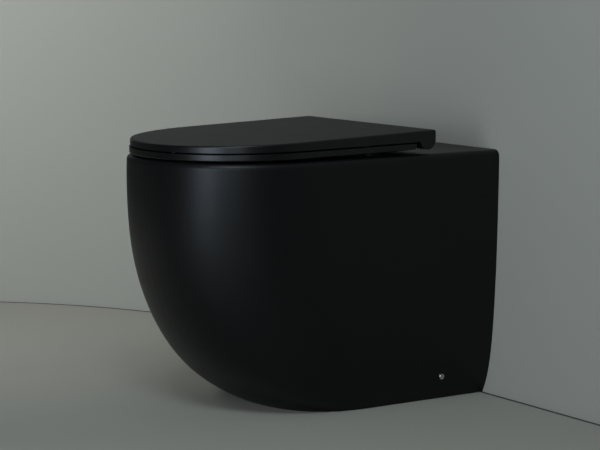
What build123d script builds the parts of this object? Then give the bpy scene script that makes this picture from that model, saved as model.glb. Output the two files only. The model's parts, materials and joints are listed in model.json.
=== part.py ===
from build123d import *
import math
import os

# Back to wall toilet: a skirted ceramic pan with a slim soft closing seat and lid.
# Millimetres. +Z is up, +Y points at the wall, +X is the right side seen from the front.
# The origin is on the floor, in the middle of the pan's length and width.
# "Reach" is always a distance forward from the wall face.

# Pan, outside
PAN_WIDTH = 367.0
PAN_DEPTH = 546.0
PAN_HEIGHT = 400.0
SKIRT_WALL = 11.0
DECK_THICKNESS = 14.0
RIM_EDGE_RADIUS = 10.5
RIM_ROLL_STEPS = 5
PAN_FULLNESS = 0.64

# Bowl
BOWL_WIDTH = 262.0
BOWL_REAR_REACH = 180.0
RIM_BAND = 48.0
BOWL_WALL = 9.0
BOWL_EDGE_RADIUS = 6.0
SUMP_HEIGHT = 62.0
BOWL_FULLNESS = 0.58

# Trapway and soil outlet
TRAP_BORE_RADIUS = 30.0
TRAP_WALL = 9.0
TRAP_DIP_HEIGHT = 93.0
TRAP_CREST_HEIGHT = 212.0
TRAP_CREST_REACH = 168.0
TRAP_BEND_RADIUS = 45.0
TRAP_START_SHARE = 0.41
TRAP_DIP_LENGTH = 62.0
TRAP_RUN_OUT = 12.0
TRAP_FALL = 3.0
OUTLET_HEIGHT = 185.0
OUTLET_RADIUS = 51.0
OUTLET_WALL = 8.0
OUTLET_END_REACH = 65.0
OUTLET_CHAMBER_LENGTH = 52.0
OUTLET_COLLAR_RADIUS = 56.0
OUTLET_LEAD = 2.0

# Flush inlet
INLET_DROP = 62.0
INLET_BORE_RADIUS = 27.5
INLET_WALL = 9.0
INLET_END_REACH = 55.0
INLET_CHAMBER_REACH = 160.0
INLET_RUN_IN = 20.0
JET_WIDTH = 74.0
JET_HEIGHT = 16.0
SEAL_LENGTH = 28.0
FLUSH_PIPE_RADIUS = 22.5
SEAL_FLANGE = 4.0

# Seat and lid
HINGE_REACH = 138.2
HINGE_RISE = 21.1
KNUCKLE_RADIUS = 14.6
KNUCKLE_NECK = 3.0
LID_WIDTH = 357.6
LID_FRONT_INSET = 4.2
LID_SHOULDER_REACH = 360.6
LID_FULLNESS = 0.584
LID_TOP_RISE = 37.3
LID_TOP_SLOPE = 0.0329
LID_EDGE_RADIUS = 3.0
LID_SKIN = 5.0
LID_BORDER = 14.0
POCKET_CLEARANCE = 1.5
SEAT_INSET = 1.0
SEAT_REAR_REACH = 160.0
SEAT_HOLE_WIDTH = 216.0
SEAT_HOLE_REAR_REACH = 206.0
SEAT_HOLE_LEAN = 6.0
SEAT_FRONT_BAND = 69.0
SEAT_BOTTOM_REAR_RISE = 7.5
SEAT_BOTTOM_SLOPE = 0.01706
SEAT_EDGE_RADIUS = 2.0
SEAT_HOLE_EDGE_RADIUS = 4.5
SEAT_BORDER = 9.0
SEAT_RECESS_DEPTH = 4.5
BOSS_WALL = 2.0
GAP_LINE_RISE = 18.8
GAP_LINE_SLOPE = 0.015
LID_SEAT_GAP = 2.0

# Hinge, along its axis from the centre line outwards
STUD_SPACING = 155.0
BLOCK_LENGTH = 24.0
HINGE_SIDE_GAP = 0.6
BARREL_RADIUS = 10.5
BARREL_CLEARANCE = 0.7
SEAT_LUG_LENGTH = 41.0
WEB_OVERLAP = 4.0
WEB_SETBACK = 5.0
WEB_STEP = 0.5
PIN_RADIUS = 4.0
RUNNING_CLEARANCE = 0.05
FIXED_CLEARANCE = 0.1
LID_PIN_LENGTH = 43.5
SEAT_PIN_LENGTH = 39.5
LID_BUSH_RADIUS = 6.5
SEAT_BUSH_RADIUS = 6.2
LID_DAMPER_RADIUS = 8.0
LID_DAMPER_LENGTH = 47.0
SEAT_DAMPER_RADIUS = 7.2
SEAT_DAMPER_LENGTH = 37.0
DAMPER_END_WALL = 9.0

# Hinge foot, up from the deck
DECK_HOLE_RADIUS = 7.0
BASE_RADIUS = 17.0
GASKET_THICKNESS = 0.8
BASE_THICKNESS = 2.2
POST_RADIUS = 5.0
POST_HEIGHT = 9.0
GROOVE_RADIUS = 3.8
GROOVE_HEIGHT = 1.8
STUD_RADIUS = 3.0
STUD_TAIL = 26.0
WASHER_RADIUS = 13.0
WASHER_THICKNESS = 4.0
WASHER_SPIGOT = 6.0
NUT_RADIUS = 9.0
NUT_HEIGHT = 12.0
WING_SPAN = 38.0
WING_THICKNESS = 4.0
WING_CORNER = 4.0
WING_STEP = 3.0

# Quick release in each hinge block
BLOCK_FOOT_GAP = 0.3
BLOCK_FRONT = 12.0
BLOCK_REAR = 7.5
BLOCK_STEP_HEIGHT = 9.7
BUTTON_RADIUS = 2.6
BUTTON_FLANGE_RADIUS = 3.3
BUTTON_PROUD = 2.5
BUTTON_FLANGE_LENGTH = 1.2
BUTTON_STOP = 8.3
CLIP_WIRE_RADIUS = 0.6
CLIP_LEG_END = 5.5
CLIP_BRIDGE = 6.2
CLIP_BEND_RADIUS = 1.3

# Rubber buffers
SEAT_BUFFER_RADIUS = 7.0
BUFFER_STEM_RADIUS = 2.5
BUFFER_STEM_LENGTH = 3.0
BUFFER_REST_GAP = 0.05
LID_BUFFER_RADIUS = 4.5
FRONT_SEAT_BUFFER = (45.0, 511.0)
REAR_SEAT_BUFFER = (155.0, 235.0)
FRONT_LID_BUFFER = (60.0, 525.0)
REAR_LID_BUFFER = (171.0, 250.0)

# Side fixing
SIDE_FIX_REACH = 96.0
SIDE_FIX_HEIGHT = 38.7
SIDE_HOLE_RADIUS = 5.0
CAP_RADIUS = 4.8
CAP_CAVITY_RADIUS = 3.8
CAP_PROUD = 4.0
CAP_DOME = 2.4
SCREW_RADIUS = 2.5
SCREW_HEAD_RADIUS = 3.6
SCREW_HEAD_HEIGHT = 3.0
HEAD_RECESS = 4.6
BRACKET_PLATE = 3.0
BRACKET_WIDTH = 40.0
BRACKET_HEIGHT = 58.0
BRACKET_FOOT = 38.0
BRACKET_BEND_RADIUS = 2.5
BRACKET_CORNER = 6.0
BRACKET_HOLE_RADIUS = 4.5
BRACKET_SETBACK = 28.6
SPACER_RADIUS = 8.0
SPACER_WALL_GAP = 3.0
NUT_FLATS_RADIUS = 4.6
NUT_THICKNESS = 4.0

# Outline of the skirt at rising heights: share of the pan's height, side inset,
# toe inset from the full projection, length of the straight side from the wall.
SKIRT_STATIONS = [
    (0.0, 36.5, 188.3, 231.6),
    (0.0775, 23.8, 133.0, 248.5),
    (0.1875, 14.8, 84.4, 270.3),
    (0.325, 9.0, 46.5, 289.8),
    (0.4825, 4.9, 19.8, 307.0),
    (0.645, 2.4, 5.3, 321.9),
    (0.81, 0.9, 0.5, 332.7),
    (1 - RIM_EDGE_RADIUS / PAN_HEIGHT, 0.2, 0.6, 336.8),
]

# Outline of the bowl from its rim down to the sump: share of the depth above the sump,
# then shares of the opening's width, and of its length where the rear and front end.
BOWL_STATIONS = [
    (1.0, 1.0, 0.0, 1.0),
    (0.79, 0.96, 0.025, 0.975),
    (0.56, 0.79, 0.082, 0.887),
    (0.35, 0.58, 0.145, 0.767),
    (0.17, 0.40, 0.21, 0.64),
    (0.0, 0.26, 0.277, 0.522),
]
BOWL_MIDDLE = 0.47

# Places worked out from the sizes above
WALL_Y = PAN_DEPTH / 2
RIM_Z = PAN_HEIGHT
DECK_UNDERSIDE = PAN_HEIGHT - DECK_THICKNESS
STUD_X = STUD_SPACING / 2
AXIS_Z = RIM_Z + HINGE_RISE
AXIS_Y = WALL_Y - HINGE_REACH
LID_REAR_REACH = HINGE_REACH - KNUCKLE_RADIUS
LID_FRONT_REACH = PAN_DEPTH - LID_FRONT_INSET
BOWL_FRONT_REACH = PAN_DEPTH - RIM_BAND
SEAT_HOLE_FRONT_REACH = LID_FRONT_REACH - SEAT_INSET - SEAT_FRONT_BAND
OUTLET_CHAMBER_END = OUTLET_END_REACH + OUTLET_CHAMBER_LENGTH
BLOCK_INNER = STUD_X - BLOCK_LENGTH / 2
BLOCK_OUTER = STUD_X + BLOCK_LENGTH / 2
SEAT_LUG_OUTER = BLOCK_INNER - HINGE_SIDE_GAP
SEAT_LUG_INNER = SEAT_LUG_OUTER - SEAT_LUG_LENGTH
LID_LUG_INNER = BLOCK_OUTER + HINGE_SIDE_GAP
BASE_TOP = RIM_Z + GASKET_THICKNESS + BASE_THICKNESS
POST_TOP = BASE_TOP + POST_HEIGHT
GROOVE_Z = BASE_TOP + POST_HEIGHT / 2 - 0.2
CLIP_LEG_X = GROOVE_RADIUS + CLIP_WIRE_RADIUS + FIXED_CLEARANCE
OVERSHOOT = 30.0
CUT_MARGIN = 5.0


def at_reach(reach):
    """Y of a point that stands this far in front of the wall."""
    return WALL_Y - reach


def gap_z(reach):
    """Height of the middle of the gap between seat and lid."""
    return RIM_Z + GAP_LINE_RISE - GAP_LINE_SLOPE * (reach - LID_REAR_REACH)


def lid_top_z(reach):
    """Height of the lid's top face."""
    return RIM_Z + LID_TOP_RISE - LID_TOP_SLOPE * (reach - LID_REAR_REACH)


def lid_bottom_z(reach):
    """Height of the lid's underside."""
    return gap_z(reach) + LID_SEAT_GAP / 2


def seat_top_z(reach):
    """Height of the seat's top face."""
    return gap_z(reach) - LID_SEAT_GAP / 2


def seat_bottom_z(reach):
    """Height of the seat's underside."""
    return RIM_Z + SEAT_BOTTOM_REAR_RISE - SEAT_BOTTOM_SLOPE * (reach - SEAT_REAR_REACH)


def quarter(start, corner, end, fullness):
    """Quarter curve that leaves both ends square, pulled towards its corner."""
    first = start + (corner - start) * fullness
    second = end + (corner - end) * fullness
    return Bezier(start, first, second, end)


def d_face(half_width, rear, shoulder, front, fullness, z):
    """D shaped face: flat at the rear, straight sides, two blended quarters at the front."""
    y_rear = at_reach(rear)
    y_shoulder = at_reach(shoulder)
    y_front = at_reach(front)
    rear_right = Vector(half_width, y_rear, z)
    rear_left = Vector(-half_width, y_rear, z)
    right = Vector(half_width, y_shoulder, z)
    left = Vector(-half_width, y_shoulder, z)
    nose = Vector(0, y_front, z)
    edges = [
        Line(rear_left, rear_right),
        Line(rear_right, right),
        quarter(right, Vector(half_width, y_front, z), nose, fullness),
        quarter(nose, Vector(-half_width, y_front, z), left, fullness),
        Line(left, rear_left),
    ]
    return make_face(edges)


def oval_face(half_width, rear, middle, front, fullness, z):
    """Egg shaped face from four quarters, widest at the middle reach."""
    right = Vector(half_width, at_reach(middle), z)
    left = Vector(-half_width, at_reach(middle), z)
    tail = Vector(0, at_reach(rear), z)
    nose = Vector(0, at_reach(front), z)
    edges = [
        quarter(tail, Vector(half_width, tail.Y, z), right, fullness),
        quarter(right, Vector(half_width, nose.Y, z), nose, fullness),
        quarter(nose, Vector(-half_width, nose.Y, z), left, fullness),
        quarter(left, Vector(-half_width, tail.Y, z), tail, fullness),
    ]
    return make_face(edges)


def side_slab(points, half_width):
    """Solid with a side profile of (reach, height) points, as wide as twice half_width."""
    corners = [Vector(0, at_reach(reach), z) for reach, z in points]
    face = make_face(Polyline(*corners, close=True))
    return extrude(face, amount=half_width, dir=(1, 0, 0), both=True)


def between(lower, upper, rear, front, half_width=PAN_WIDTH):
    """Wedge between two sloping planes, each given as a height against reach."""
    points = [(rear, lower(rear)), (front, lower(front)), (front, upper(front)), (rear, upper(rear))]
    return side_slab(points, half_width)


def axle(radius, start, end, side=1, y=AXIS_Y, z=AXIS_Z):
    """Cylinder along X between two distances from the centre line, on the given side."""
    middle = side * (start + end) / 2
    return Pos(middle, y, z) * Rot(0, 90, 0) * Cylinder(radius, abs(end - start))


def upright(radius, x, y, low, high):
    """Cylinder along Z between two heights."""
    return Pos(x, y, (low + high) / 2) * Cylinder(radius, high - low)


def block(x_range, y_range, z_range):
    """Box between two corners."""
    size = [abs(b - a) for a, b in (x_range, y_range, z_range)]
    centre = [(a + b) / 2 for a, b in (x_range, y_range, z_range)]
    return Pos(*centre) * Box(*size)


def skirt_half_width(height):
    """Half width of the skirt at a height, straight between the nearest stations."""
    for lower, upper in zip(SKIRT_STATIONS, SKIRT_STATIONS[1:]):
        low, high = lower[0] * PAN_HEIGHT, upper[0] * PAN_HEIGHT
        if height <= high:
            share = (height - low) / (high - low)
            return PAN_WIDTH / 2 - lower[1] - share * (upper[1] - lower[1])
    return PAN_WIDTH / 2


def skirt_section(station, inset, rear):
    """Outline of the skirt at one station, moved in by a wall thickness."""
    share, side_inset, toe_inset, straight = station
    half_width = PAN_WIDTH / 2 - side_inset - inset
    front = PAN_DEPTH - toe_inset - inset
    return d_face(half_width, rear, straight, front, PAN_FULLNESS, share * PAN_HEIGHT)


def layer(low, high):
    """Everything in front of the wall face between two heights."""
    return block((-PAN_WIDTH, PAN_WIDTH), (-PAN_DEPTH, WALL_Y), (low, high))


def skirt_outside():
    """Closed outer form of the pan, with its rolled rim edge, cut off at the wall face."""
    body = loft([skirt_section(station, 0.0, -CUT_MARGIN) for station in SKIRT_STATIONS])
    sections = []
    for step in range(RIM_ROLL_STEPS + 1):
        angle = math.radians(90.0 * step / RIM_ROLL_STEPS)
        inset = RIM_EDGE_RADIUS * (1 - math.cos(angle))
        section = skirt_section(SKIRT_STATIONS[-1], inset, -CUT_MARGIN)
        sections.append(Pos(0, 0, RIM_EDGE_RADIUS * math.sin(angle)) * section)
    return (body + loft(sections)) & layer(0, RIM_Z)


def skirt_inside():
    """Space inside the skirt, open to the wall and the floor, and carried on above the rim."""
    space = loft([skirt_section(station, SKIRT_WALL, -OVERSHOOT) for station in SKIRT_STATIONS])
    top = space.faces().sort_by(Axis.Z)[-1]
    return space + extrude(top, amount=OVERSHOOT, dir=(0, 0, 1))


def bowl_form(offset, floor_drop, extra_top):
    """Bowl from sump to rim, moved outwards by the offset."""
    length = BOWL_FRONT_REACH - BOWL_REAR_REACH
    depth = RIM_Z - SUMP_HEIGHT
    lean = (BOWL_MIDDLE - 0.5) * length
    sections = []
    for share, width_share, rear_share, front_share in reversed(BOWL_STATIONS):
        z = SUMP_HEIGHT + share * depth - floor_drop * (1 - share)
        middle_share = (rear_share + front_share) / 2
        sections.append(
            oval_face(
                BOWL_WIDTH / 2 * width_share + offset,
                BOWL_REAR_REACH + rear_share * length - offset,
                BOWL_REAR_REACH + middle_share * length + lean * share,
                BOWL_REAR_REACH + front_share * length + offset,
                BOWL_FULLNESS,
                z,
            )
        )
    form = loft(sections)
    if extra_top:
        top = form.faces().sort_by(Axis.Z)[-1]
        form = form + extrude(top, amount=extra_top, dir=(0, 0, 1))
    return form


def trap_path():
    """Centre line of the trapway: back from the sump, over the crest, down to the outlet."""
    length = BOWL_FRONT_REACH - BOWL_REAR_REACH
    start = BOWL_REAR_REACH + TRAP_START_SHARE * length
    dip = start - TRAP_DIP_LENGTH
    end = OUTLET_CHAMBER_END - TRAP_RUN_OUT
    points = [
        Vector(0, at_reach(start), TRAP_DIP_HEIGHT),
        Vector(0, at_reach(dip), TRAP_DIP_HEIGHT),
        Vector(0, at_reach(TRAP_CREST_REACH), TRAP_CREST_HEIGHT),
        Vector(0, at_reach(end), OUTLET_HEIGHT + TRAP_FALL),
    ]
    return FilletPolyline(*points, radius=TRAP_BEND_RADIUS)


def trap_tube(radius):
    """Round tube of this radius along the trapway."""
    path = trap_path()
    section = Plane(origin=path @ 0, z_dir=path % 0) * Circle(radius)
    return sweep(section, path=path)


def along_wall_axis(radius, near, far, z):
    """Cylinder along Y between two reaches at a height, on the centre line."""
    return Pos(0, at_reach((near + far) / 2), z) * Rot(90, 0, 0) * Cylinder(radius, far - near)


def bowl_outside(extra_top=0.0):
    """Outer form of the bowl's wall."""
    return bowl_form(BOWL_WALL, BOWL_WALL, extra_top)


def make_skirt():
    """Outer wall of the pan with its rolled rim edge and the side fixing holes."""
    skirt = skirt_outside() - skirt_inside()
    y = at_reach(SIDE_FIX_REACH)
    for side in (1, -1):
        skirt -= axle(SIDE_HOLE_RADIUS, bracket_face_x(), PAN_WIDTH, side, y, SIDE_FIX_HEIGHT)
    return skirt


def make_rim():
    """Flat rim and rear deck between skirt and bowl, with the two stud holes."""
    rim = skirt_outside() & layer(DECK_UNDERSIDE, RIM_Z) & skirt_inside()
    rim -= bowl_outside(CUT_MARGIN)
    for side in (1, -1):
        x = side * STUD_X
        rim -= upright(DECK_HOLE_RADIUS, x, AXIS_Y, DECK_UNDERSIDE - CUT_MARGIN, RIM_Z + CUT_MARGIN)
    return rim


def make_bowl():
    """Rimless bowl with a rounded mouth, the way into the trap and the flush jet."""
    inlet_z = RIM_Z - INLET_DROP
    bowl = bowl_outside() - bowl_form(0.0, 0.0, OVERSHOOT)
    bowl -= trap_tube(TRAP_BORE_RADIUS)
    bowl -= block(
        (-JET_WIDTH / 2, JET_WIDTH / 2),
        (at_reach(BOWL_REAR_REACH + INLET_RUN_IN), at_reach(BOWL_REAR_REACH - INLET_RUN_IN)),
        (inlet_z - JET_HEIGHT / 2, inlet_z + JET_HEIGHT / 2),
    )
    mouth = bowl.faces().sort_by(Axis.Z)[-1]
    return fillet(mouth.inner_wires()[0].edges(), BOWL_EDGE_RADIUS)


def make_trapway():
    """Trap behind the bowl, up over its crest and down to the collar of the outlet."""
    trapway = trap_tube(TRAP_BORE_RADIUS + TRAP_WALL)
    trapway += along_wall_axis(
        OUTLET_COLLAR_RADIUS, OUTLET_CHAMBER_END, OUTLET_CHAMBER_END + OUTLET_WALL, OUTLET_HEIGHT
    )
    trapway -= trap_tube(TRAP_BORE_RADIUS)
    trapway -= block(
        (-PAN_WIDTH, PAN_WIDTH), (at_reach(OUTLET_CHAMBER_END), PAN_DEPTH), (0, PAN_HEIGHT)
    )
    return trapway - bowl_outside()


def make_outlet():
    """Round spigot that a pan connector is pushed over."""
    pipe = along_wall_axis(OUTLET_RADIUS, OUTLET_END_REACH, OUTLET_CHAMBER_END, OUTLET_HEIGHT)
    rim = pipe.edges().sort_by(Axis.Y)[-1]
    pipe = chamfer(rim, OUTLET_LEAD)
    return pipe - along_wall_axis(
        OUTLET_RADIUS - OUTLET_WALL,
        OUTLET_END_REACH - CUT_MARGIN,
        OUTLET_CHAMBER_END + CUT_MARGIN,
        OUTLET_HEIGHT,
    )


def make_inlet():
    """Horn behind the bowl that takes the flush pipe and feeds the jet."""
    inlet_z = RIM_Z - INLET_DROP
    outer = INLET_BORE_RADIUS + INLET_WALL
    horn = along_wall_axis(outer, INLET_END_REACH, BOWL_REAR_REACH + INLET_RUN_IN, inlet_z)
    horn -= bowl_outside()
    horn -= along_wall_axis(
        INLET_BORE_RADIUS, INLET_END_REACH - CUT_MARGIN, INLET_CHAMBER_REACH, inlet_z
    )
    horn -= block(
        (-JET_WIDTH / 2, JET_WIDTH / 2),
        (at_reach(BOWL_REAR_REACH + INLET_RUN_IN), at_reach(INLET_CHAMBER_REACH - INLET_BORE_RADIUS)),
        (inlet_z - JET_HEIGHT / 2, inlet_z + JET_HEIGHT / 2),
    ) & along_wall_axis(
        outer - INLET_WALL / 2, INLET_END_REACH, BOWL_REAR_REACH + 2 * INLET_RUN_IN, inlet_z
    )
    return horn


def lid_plan(inset, z):
    """Outline shared by lid and seat, moved in by an inset at the sides and front."""
    return d_face(
        LID_WIDTH / 2 - inset,
        LID_REAR_REACH,
        LID_SHOULDER_REACH,
        LID_FRONT_REACH - inset,
        LID_FULLNESS,
        z,
    )


def make_lid():
    """Wedge shaped lid with a hollow underside and two hinge knuckles."""
    low, high = RIM_Z - OVERSHOOT, RIM_Z + 2 * OVERSHOOT
    plate = extrude(lid_plan(0.0, low), amount=high - low)
    plate &= between(lid_bottom_z, lid_top_z, LID_REAR_REACH - 1.0, LID_FRONT_REACH + 1.0)
    plate = fillet(plate.faces().sort_by(Axis.Z)[-1].edges(), LID_EDGE_RADIUS)

    for side in (1, -1):
        inner, outer = LID_LUG_INNER, LID_WIDTH / 2
        knuckle = axle(KNUCKLE_RADIUS, inner, outer, side)
        depth = (AXIS_Y - KNUCKLE_RADIUS, AXIS_Y + KNUCKLE_RADIUS)
        neck_top = AXIS_Z + KNUCKLE_NECK
        knuckle &= block((side * inner, side * outer), depth, (low, AXIS_Z))
        plate += knuckle + block((side * inner, side * outer), depth, (AXIS_Z, neck_top))

    recess = extrude(
        d_face(
            LID_WIDTH / 2 - LID_BORDER,
            HINGE_REACH + KNUCKLE_RADIUS + LID_BORDER,
            LID_SHOULDER_REACH,
            LID_FRONT_REACH - LID_BORDER,
            LID_FULLNESS,
            low,
        ),
        amount=high - low,
    )
    recess &= between(
        lambda reach: lid_bottom_z(reach) - CUT_MARGIN,
        lambda reach: lid_top_z(reach) - LID_SKIN,
        LID_REAR_REACH,
        LID_FRONT_REACH,
    )
    plate -= recess

    # Room for the hinge blocks and the seat's barrels under the rear of the lid
    roof = AXIS_Z + BARREL_RADIUS + BARREL_CLEARANCE
    pocket_front = AXIS_Y - BLOCK_FRONT - POCKET_CLEARANCE
    plate -= block(
        (-LID_LUG_INNER, LID_LUG_INNER),
        (pocket_front, AXIS_Y + BARREL_RADIUS + BARREL_CLEARANCE),
        (low, roof),
    )
    plate -= block(
        (-LID_LUG_INNER, LID_LUG_INNER),
        (pocket_front, WALL_Y),
        (low, AXIS_Z),
    )
    for side in (1, -1):
        plate -= block(
            (side * SEAT_LUG_OUTER, side * LID_LUG_INNER),
            (AXIS_Y, WALL_Y),
            (low, roof),
        )

    plate -= axle(LID_BUSH_RADIUS + FIXED_CLEARANCE, BLOCK_OUTER, STUD_X + LID_PIN_LENGTH + 1.0, 1)
    plate -= axle(
        LID_DAMPER_RADIUS + FIXED_CLEARANCE, BLOCK_OUTER, LID_LUG_INNER + LID_DAMPER_LENGTH + 1.0, -1
    )
    return plate


def seat_hole_form(inset, low, high):
    """Upright prism through the seat's opening."""
    middle = (SEAT_HOLE_REAR_REACH + SEAT_HOLE_FRONT_REACH) / 2 - SEAT_HOLE_LEAN
    return extrude(
        oval_face(
            SEAT_HOLE_WIDTH / 2 + inset,
            SEAT_HOLE_REAR_REACH - inset,
            middle,
            SEAT_HOLE_FRONT_REACH + inset,
            BOWL_FULLNESS,
            low,
        ),
        amount=high - low,
    )


def make_seat():
    """Seat ring with a sloping underside, a hollowed base and two hinge barrels."""
    low, high = RIM_Z - OVERSHOOT, RIM_Z + 2 * OVERSHOOT
    half_width = LID_WIDTH / 2 - SEAT_INSET
    front = LID_FRONT_REACH - SEAT_INSET
    ring = extrude(
        d_face(half_width, SEAT_REAR_REACH, LID_SHOULDER_REACH, front, LID_FULLNESS, low),
        amount=high - low,
    )
    ring &= between(seat_bottom_z, seat_top_z, SEAT_REAR_REACH - 1.0, front + 1.0)
    rear_bottom = ring.edges().filter_by(Axis.X).sort_by(Axis.Z)
    rear_bottom = rear_bottom.filter_by(
        lambda edge: abs(edge.center().Z - seat_bottom_z(SEAT_REAR_REACH)) < 0.5
    )
    ring = fillet(rear_bottom, SEAT_EDGE_RADIUS * 3)
    ring = fillet(ring.faces().sort_by(Axis.Z)[-1].edges(), SEAT_EDGE_RADIUS)
    ring -= seat_hole_form(0.0, low, high)
    hole_edges = ring.edges().filter_by(
        lambda edge: edge.length > 60.0
        and abs(edge.center().X) < SEAT_HOLE_WIDTH / 2
        and abs(edge.center().Z - seat_top_z(LID_FRONT_REACH / 2 + SEAT_REAR_REACH / 2)) < 4.0
        and at_reach(SEAT_HOLE_FRONT_REACH) < edge.center().Y < at_reach(SEAT_HOLE_REAR_REACH)
        and edge.geom_type != GeomType.LINE
    )
    ring = fillet(hole_edges, SEAT_HOLE_EDGE_RADIUS)

    # Moulded recess in the underside, with bosses left round the buffers
    recess = extrude(
        d_face(
            half_width - SEAT_BORDER,
            SEAT_REAR_REACH + 2 * SEAT_BORDER,
            LID_SHOULDER_REACH,
            front - SEAT_BORDER,
            LID_FULLNESS,
            low,
        ),
        amount=high - low,
    )
    recess -= seat_hole_form(SEAT_BORDER, low, high)
    recess &= between(
        lambda reach: seat_bottom_z(reach) - CUT_MARGIN,
        lambda reach: seat_bottom_z(reach) + SEAT_RECESS_DEPTH,
        SEAT_REAR_REACH,
        front,
    )
    for x, reach in (FRONT_SEAT_BUFFER, REAR_SEAT_BUFFER):
        for side in (1, -1):
            recess -= upright(SEAT_BUFFER_RADIUS + BOSS_WALL, side * x, at_reach(reach), low, high)
    ring -= recess

    web_top = seat_top_z(SEAT_REAR_REACH) - WEB_STEP
    web_low = seat_bottom_z(SEAT_REAR_REACH) + 2 * WEB_STEP
    for side in (1, -1):
        lug = axle(BARREL_RADIUS, SEAT_LUG_INNER, SEAT_LUG_OUTER, side)
        lug += block(
            (side * SEAT_LUG_INNER, side * SEAT_LUG_OUTER),
            (at_reach(SEAT_REAR_REACH + WEB_OVERLAP), AXIS_Y - WEB_SETBACK),
            (web_low, web_top),
        )
        ring += lug
    for x, reach in (FRONT_SEAT_BUFFER, REAR_SEAT_BUFFER):
        for side in (1, -1):
            ring -= upright(
                BUFFER_STEM_RADIUS + FIXED_CLEARANCE,
                side * x,
                at_reach(reach),
                low,
                seat_bottom_z(reach) + BUFFER_STEM_LENGTH + 0.5,
            )
    ring -= axle(
        SEAT_BUSH_RADIUS + FIXED_CLEARANCE, STUD_X - SEAT_PIN_LENGTH - 1.0, BLOCK_INNER, -1
    )
    ring -= axle(
        SEAT_DAMPER_RADIUS + FIXED_CLEARANCE,
        SEAT_LUG_OUTER - SEAT_DAMPER_LENGTH - 1.0,
        BLOCK_INNER,
        1,
    )
    return ring


def make_seat_buffer(x, reach):
    """Rubber foot under the seat, on a stem pressed into the seat."""
    y = at_reach(reach)
    pad = upright(SEAT_BUFFER_RADIUS, x, y, RIM_Z + BUFFER_REST_GAP, RIM_Z + OVERSHOOT)
    pad &= between(
        lambda at: RIM_Z,
        seat_bottom_z,
        SEAT_REAR_REACH,
        LID_FRONT_REACH,
    )
    stem = upright(BUFFER_STEM_RADIUS, x, y, RIM_Z + 0.5, seat_bottom_z(reach) + BUFFER_STEM_LENGTH)
    return pad + stem


def make_lid_buffer(x, reach):
    """Thin rubber pad under the lid that rests on the seat."""
    pad = upright(LID_BUFFER_RADIUS, x, at_reach(reach), RIM_Z, RIM_Z + OVERSHOOT)
    return pad & between(
        lambda at: seat_top_z(at) + BUFFER_REST_GAP,
        lid_bottom_z,
        SEAT_REAR_REACH,
        LID_FRONT_REACH,
    )


def make_gasket(side):
    """Soft disc between the hinge foot and the glaze."""
    x = side * STUD_X
    disc = upright(BASE_RADIUS - 0.5, x, AXIS_Y, RIM_Z, RIM_Z + GASKET_THICKNESS)
    return disc - upright(STUD_RADIUS + FIXED_CLEARANCE, x, AXIS_Y, RIM_Z - 1, RIM_Z + 5)


def make_base_disc(side):
    """Plated disc that the stud clamps to the deck."""
    x = side * STUD_X
    low = RIM_Z + GASKET_THICKNESS
    disc = upright(BASE_RADIUS, x, AXIS_Y, low, BASE_TOP)
    disc = chamfer(disc.edges().sort_by(Axis.Z)[-1], 0.7)
    return disc - upright(STUD_RADIUS + FIXED_CLEARANCE, x, AXIS_Y, low - 1, BASE_TOP + 1)


def make_stud(side):
    """Turned stud: grooved post above the disc, threaded tail below the deck."""
    x = side * STUD_X
    post = upright(POST_RADIUS, x, AXIS_Y, BASE_TOP, POST_TOP)
    post = chamfer(post.edges().sort_by(Axis.Z)[-1], 0.8)
    groove = upright(POST_RADIUS + 1, x, AXIS_Y, GROOVE_Z - GROOVE_HEIGHT / 2, GROOVE_Z + GROOVE_HEIGHT / 2)
    groove -= upright(GROOVE_RADIUS, x, AXIS_Y, GROOVE_Z - GROOVE_HEIGHT, GROOVE_Z + GROOVE_HEIGHT)
    tail = upright(STUD_RADIUS, x, AXIS_Y, DECK_UNDERSIDE - STUD_TAIL, BASE_TOP + 1)
    return post - groove + tail


def make_stud_washer(side):
    """Rubber washer under the deck, with a spigot that centres it in the hole."""
    x = side * STUD_X
    low = DECK_UNDERSIDE - WASHER_THICKNESS
    washer = upright(WASHER_RADIUS, x, AXIS_Y, low, DECK_UNDERSIDE)
    washer += upright(DECK_HOLE_RADIUS - 0.4, x, AXIS_Y, low, DECK_UNDERSIDE + WASHER_SPIGOT)
    return washer - upright(STUD_RADIUS + FIXED_CLEARANCE, x, AXIS_Y, low - 1, DECK_UNDERSIDE + 7)


def make_wing_nut(side):
    """Moulded nut with two finger wings, turned from below."""
    x = side * STUD_X
    high = DECK_UNDERSIDE - WASHER_THICKNESS
    low = high - NUT_HEIGHT
    hub = Pos(x, AXIS_Y, (low + high) / 2) * Cone(NUT_RADIUS - 1.5, NUT_RADIUS, NUT_HEIGHT)
    wings = block(
        (x - WING_THICKNESS / 2, x + WING_THICKNESS / 2),
        (AXIS_Y - WING_SPAN / 2, AXIS_Y + WING_SPAN / 2),
        (low, high - WING_STEP),
    )
    wings = fillet(wings.edges().filter_by(Axis.X), WING_CORNER)
    return hub + wings - upright(STUD_RADIUS + FIXED_CLEARANCE, x, AXIS_Y, low - 1, high + 1)


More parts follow.
